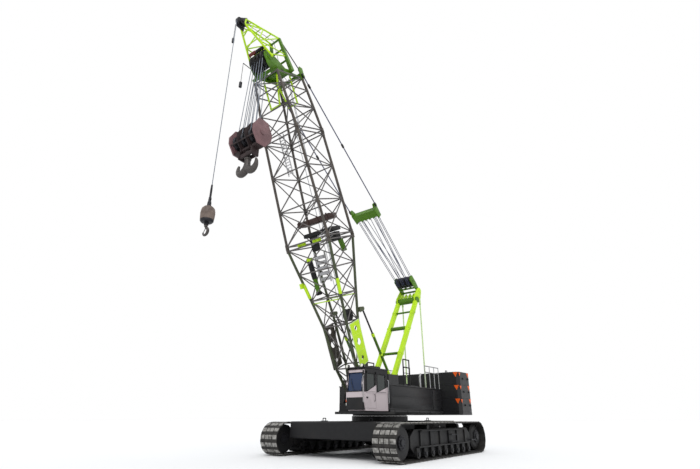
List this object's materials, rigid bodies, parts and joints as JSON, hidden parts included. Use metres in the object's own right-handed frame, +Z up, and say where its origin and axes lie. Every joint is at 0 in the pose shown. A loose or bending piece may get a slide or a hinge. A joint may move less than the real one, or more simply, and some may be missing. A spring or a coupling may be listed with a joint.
{
  "type": "crawler crane",
  "caption": "Lattice boom crawler crane with cab, counterweight, luffing gantry, a multi-fall hook block and a single-line auxiliary hook.",
  "frame": {"origin": "on the ground, at the middle of the crane's overall length and width, with the boom at its stored angle", "axes": "+X to the crane's front, +Y to its left (the cab's side), +Z up"},
  "size_m": [17.692, 7.5, 19.8441],
  "materials": {
    "lime_paint": "gloss",
    "olive_paint": "satin",
    "chord_paint": "satin",
    "charcoal_paint": "satin",
    "frame_black": "satin",
    "silver_paint": "satin",
    "orange_paint": "satin",
    "shoe_steel": "worn",
    "dark_steel": "greased",
    "hook_brown": "weathered",
    "hook_steel": "forged",
    "wire_rope": "stranded",
    "bare_steel": "galvanised",
    "cab_glass": "clear",
    "seat_vinyl": "matte",
    "black_rubber": "matte"
  },
  "bodies": {
    "undercarriage": {"carbody": "frame_black", "slew_ring": "dark_steel", "front_central_ballast": "frame_black", "rear_central_ballast": "frame_black", "left_track": "shoe_steel", "right_track": "shoe_steel", "left_crawler_frame": "frame_black", "right_crawler_frame": "frame_black", "left_idler": "dark_steel", "right_idler": "dark_steel", "left_sprocket_drive": "dark_steel", "right_sprocket_drive": "dark_steel"},
    "upper": {"upper_frame": "frame_black", "left_house": "charcoal_paint", "right_house": "charcoal_paint", "counterweight_tray": "frame_black", "lower_counterweight": "charcoal_paint", "middle_counterweight": "charcoal_paint", "upper_counterweight": "charcoal_paint", "gantry": "lime_paint", "winch_bed": "frame_black", "cab_shell": "silver_paint", "windscreen": "cab_glass", "left_rear_window": "cab_glass", "right_window": "cab_glass", "operator_seat": "seat_vinyl", "control_console": "seat_vinyl"},
    "cab_door": {"cab_door": "silver_paint", "door_window": "cab_glass"},
    "main_drum": {"main_drum": "dark_steel"},
    "auxiliary_drum": {"auxiliary_drum": "dark_steel"},
    "luffing_drum": {"luffing_drum": "dark_steel"},
    "boom": {"boom_base": "chord_paint", "left_boom_side_plate": "lime_paint", "right_boom_side_plate": "lime_paint", "boom_insert": "chord_paint", "boom_top_section": "chord_paint", "boom_head": "olive_paint", "tip_extension": "lime_paint"},
    "head_sheaves": {"head_sheaves": "dark_steel"},
    "tip_sheave": {"tip_sheave": "dark_steel"},
    "luffing_block": {"gantry_sheave_block": "olive_paint"},
    "gantry_sheaves": {"gantry_sheaves": "dark_steel"},
    "bridle": {"bridle": "olive_paint"},
    "pendants": {"left_pendant": "dark_steel", "right_pendant": "dark_steel"},
    "backstop_barrels": {"left_backstop_barrel": "olive_paint", "right_backstop_barrel": "olive_paint"},
    "backstop_rods": {"left_backstop_rod": "dark_steel", "right_backstop_rod": "dark_steel"},
    "main_fall": {"main_limit_weight": "dark_steel"},
    "hook_block": {"hook_block_frame": "hook_brown"},
    "block_sheaves": {"block_sheaves": "dark_steel"},
    "double_hook": {"double_hook": "hook_steel"},
    "auxiliary_fall": {"auxiliary_limit_weight": "dark_steel"},
    "auxiliary_ball": {"auxiliary_ball": "hook_brown"},
    "auxiliary_hook": {"auxiliary_hook": "hook_steel"}
  },
  "joints": [
    {"name": "slew", "type": "hinge", "parent": "undercarriage", "child": "upper", "pos_m": [-2.84619, 0, 1.6], "axis": [0, 0, 1], "continuous": true},
    {"name": "cab_door_hinge", "type": "hinge", "parent": "upper", "child": "cab_door", "pos_m": [0.08181, 1.806, 1.9], "axis": [0, 0, 1], "range_deg": [0, 85]},
    {"name": "main_drum_spin", "type": "hinge", "parent": "upper", "child": "main_drum", "pos_m": [-3.89619, 0, 2.9], "axis": [0, 1, 0], "continuous": true},
    {"name": "auxiliary_drum_spin", "type": "hinge", "parent": "upper", "child": "auxiliary_drum", "pos_m": [-5.04619, 0, 2.9], "axis": [0, 1, 0], "continuous": true},
    {"name": "luffing_drum_spin", "type": "hinge", "parent": "upper", "child": "luffing_drum", "pos_m": [-6.09619, 0, 2.84], "axis": [0, 1, 0], "continuous": true},
    {"name": "boom_luff", "type": "hinge", "parent": "upper", "child": "boom", "pos_m": [-1.04619, 0, 2.6], "axis": [0, -1, 0], "range_deg": [-36, 14]},
    {"name": "head_sheaves_spin", "type": "hinge", "parent": "boom", "child": "head_sheaves", "pos_m": [6.84996, 0, 17.80269], "axis": [0, 1, 0], "continuous": true},
    {"name": "tip_sheave_spin", "type": "hinge", "parent": "boom", "child": "tip_sheave", "pos_m": [8.33219, 0, 19.09121], "axis": [0, 1, 0], "continuous": true},
    {"name": "luffing_line_swing", "type": "hinge", "parent": "upper", "child": "luffing_block", "pos_m": [-6.84619, 0, 9.1], "axis": [0, -1, 0], "range_deg": [-20.2, 7.9]},
    {"name": "gantry_sheaves_spin", "type": "hinge", "parent": "luffing_block", "child": "gantry_sheaves", "pos_m": [-6.17484, 0, 9.60486], "axis": [0, 1, 0], "continuous": true},
    {"name": "bridle_travel", "type": "slide", "parent": "luffing_block", "child": "bridle", "axis": [0.9517, 0, 0.3069], "range_m": [-2.15, 5.45]},
    {"name": "pendant_swing", "type": "hinge", "parent": "bridle", "child": "pendants", "pos_m": [-1.58724, 0, 13.05472], "axis": [0, -1, 0], "range_deg": [-13, 5.2]},
    {"name": "backstop_swing", "type": "hinge", "parent": "upper", "child": "backstop_barrels", "pos_m": [-2.64619, 0, 3.5], "axis": [0, -1, 0], "range_deg": [-31.8, 12.6]},
    {"name": "backstop_travel", "type": "slide", "parent": "backstop_barrels", "child": "backstop_rods", "axis": [0.609, 0, 0.7931], "range_m": [-0.44, 1.1]},
    {"name": "main_fall_plumb", "type": "hinge", "parent": "boom", "child": "main_fall", "pos_m": [6.84996, 0, 17.80269], "axis": [0, -1, 0], "range_deg": [-14.2, 36.2]},
    {"name": "main_hoist", "type": "slide", "parent": "main_fall", "child": "hook_block", "axis": [0, 0, -1], "range_m": [-1.7, 10.8]},
    {"name": "block_sheaves_spin", "type": "hinge", "parent": "hook_block", "child": "block_sheaves", "pos_m": [7.01381, 0, 13.08], "axis": [0, 1, 0], "continuous": true},
    {"name": "double_hook_swivel", "type": "hinge", "parent": "hook_block", "child": "double_hook", "pos_m": [7.01381, 0, 12], "axis": [0, 0, 1], "continuous": true},
    {"name": "auxiliary_fall_plumb", "type": "hinge", "parent": "boom", "child": "auxiliary_fall", "pos_m": [8.33219, 0, 19.09121], "axis": [0, -1, 0], "range_deg": [-14.2, 36.2]},
    {"name": "auxiliary_hoist", "type": "slide", "parent": "auxiliary_fall", "child": "auxiliary_ball", "axis": [0, 0, -1], "range_m": [-7, 7.7]},
    {"name": "auxiliary_hook_swivel", "type": "hinge", "parent": "auxiliary_ball", "child": "auxiliary_hook", "pos_m": [8.55579, 0, 8.3], "axis": [0, 0, 1], "continuous": true}
  ],
  "couplings": [
    {"joint": "luffing_line_swing", "follows": "boom_luff", "ratio": 0.5497},
    {"joint": "bridle_travel", "follows": "boom_luff", "m_per_rad": -8.6061},
    {"joint": "pendant_swing", "follows": "boom_luff", "ratio": 0.3531},
    {"joint": "backstop_swing", "follows": "boom_luff", "ratio": 0.872},
    {"joint": "backstop_travel", "follows": "boom_luff", "m_per_rad": -1.72},
    {"joint": "main_fall_plumb", "follows": "boom_luff", "ratio": -1},
    {"joint": "auxiliary_fall_plumb", "follows": "boom_luff", "ratio": -1}
  ]
}
